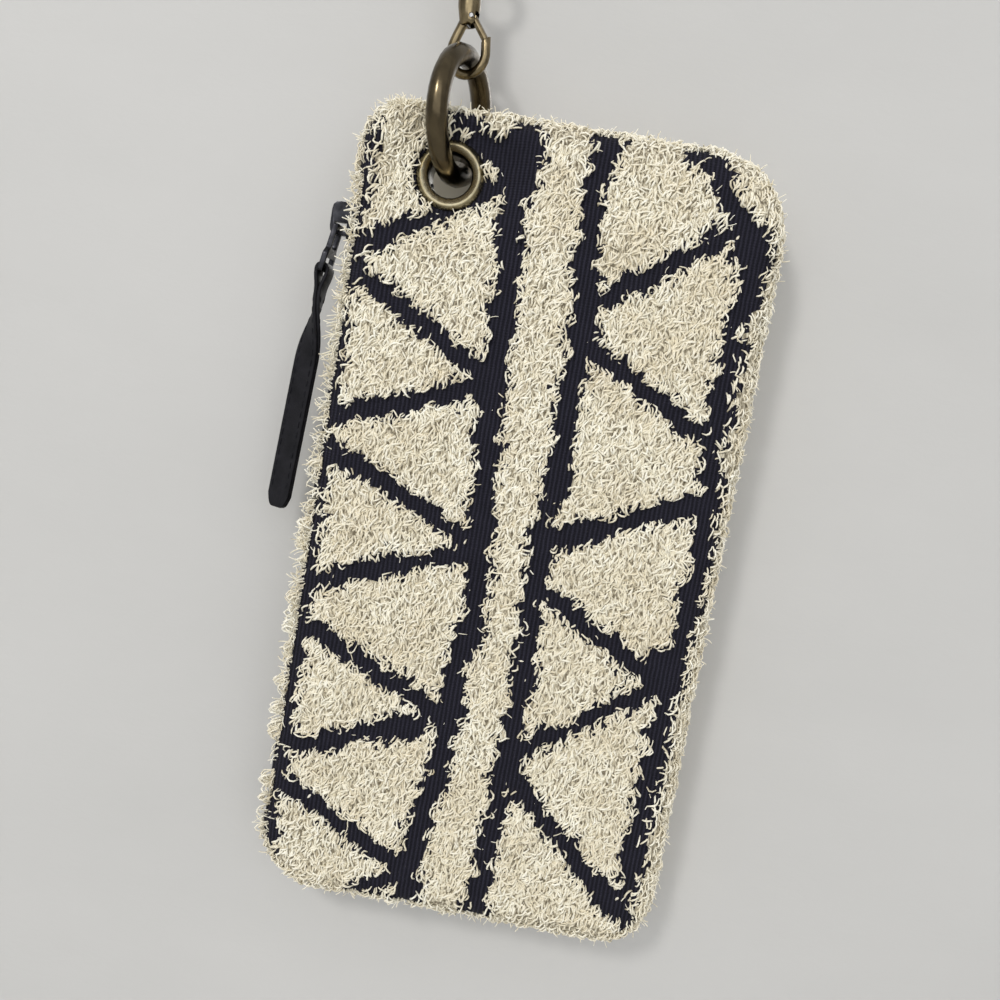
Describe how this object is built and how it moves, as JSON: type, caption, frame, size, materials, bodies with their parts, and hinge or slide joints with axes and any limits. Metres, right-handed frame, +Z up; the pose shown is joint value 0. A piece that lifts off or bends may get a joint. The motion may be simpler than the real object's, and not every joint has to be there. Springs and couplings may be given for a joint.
{
  "type": "wristlet pouch",
  "caption": "Flat tufted-cloth wristlet pouch with a zip along one long edge, hung by a corner grommet from an O-ring and a swivel lobster clasp.",
  "frame": {"origin": "middle of the swivel eye's hole, where the wrist strap is fastened", "axes": "+Z up along the pouch's long sides, +X to the right as seen from the front, the front faces -Y"},
  "size_m": [0.115, 0.0317, 0.2444],
  "materials": {
    "tufted_cloth": "matte, raised yarn on a navy ground",
    "lining": "matte",
    "zip_tape": "matte",
    "zip_teeth": "satin",
    "black_metal": "satin black",
    "leather": "smooth, matte",
    "brass": "polished",
    "antique_brass": "dark patina, bright where worn",
    "spring_steel": "bare"
  },
  "bodies": {
    "eye": {"swivel_eye": "antique_brass"},
    "clasp": {"clasp_hook": "antique_brass", "gate_pin": "spring_steel", "gate_spring": "spring_steel"},
    "gate": {"clasp_gate": "antique_brass"},
    "ring": {"o_ring": "antique_brass"},
    "pouch": {"front_panel": "tufted_cloth", "back_panel": "tufted_cloth", "front_lining": "lining", "back_lining": "lining", "grommet": "brass", "grommet_washer": "brass", "zip_tape_front": "zip_tape", "zip_tape_back": "zip_tape", "zip_end_teeth_front": "zip_teeth", "zip_end_teeth_back": "zip_teeth", "zip_top_stop_front": "black_metal", "zip_top_stop_back": "black_metal", "zip_bottom_stop": "black_metal"},
    "leaf_front": {"zip_leaf_front": "zip_tape", "zip_teeth_front": "zip_teeth"},
    "leaf_back": {"zip_leaf_back": "zip_tape", "zip_teeth_back": "zip_teeth"},
    "slider": {"zip_slider": "black_metal"},
    "puller": {"zip_puller": "black_metal"},
    "tab": {"pull_tab": "leather"}
  },
  "joints": [
    {"name": "clasp_swivel", "type": "hinge", "parent": "eye", "child": "clasp", "pos_m": [0, 0, 0], "axis": [-0.1338, 0.0384, 0.9903], "continuous": true},
    {"name": "gate_hinge", "type": "hinge", "parent": "clasp", "child": "gate", "pos_m": [0.00363, -0.00104, -0.01754], "axis": [0.2756, 0.9613, 0], "range_deg": [0, 24], "stiffness_Nm_per_rad": 0.02, "springref_deg": -20.05, "deforming": ["gate_spring"]},
    {"name": "ring_swing", "type": "hinge", "parent": "clasp", "child": "ring", "pos_m": [0.00413, -0.00119, -0.0306], "axis": [0.9607, -0.2755, 0.0349], "range_deg": [-30, 30]},
    {"name": "pouch_swing", "type": "hinge", "parent": "ring", "child": "pouch", "pos_m": [0.00451, -0.00129, -0.05502], "axis": [0, 1, 0], "range_deg": [-30, 50]},
    {"name": "zip_leaf_front", "type": "hinge", "parent": "pouch", "child": "leaf_front", "pos_m": [-0.01536, -0.00559, -0.1406], "axis": [0, 0, 1], "range_deg": [0, 75]},
    {"name": "zip_leaf_back", "type": "hinge", "parent": "pouch", "child": "leaf_back", "pos_m": [-0.01536, 0.00301, -0.1406], "axis": [0, 0, -1], "range_deg": [0, 75]},
    {"name": "zip_slide", "type": "slide", "parent": "pouch", "child": "slider", "axis": [0, 0, -1], "range_m": [0, 0.1442], "deforming": ["zip_teeth_front", "zip_teeth_back"]},
    {"name": "puller_swing", "type": "hinge", "parent": "slider", "child": "puller", "pos_m": [-0.02111, -0.00129, -0.07072], "axis": [0, 1, 0], "range_deg": [-2, 110]},
    {"name": "tab_swing", "type": "hinge", "parent": "puller", "child": "tab", "pos_m": [-0.02299, -0.00129, -0.08136], "axis": [0, 1, 0], "range_deg": [-1.5, 60]}
  ]
}
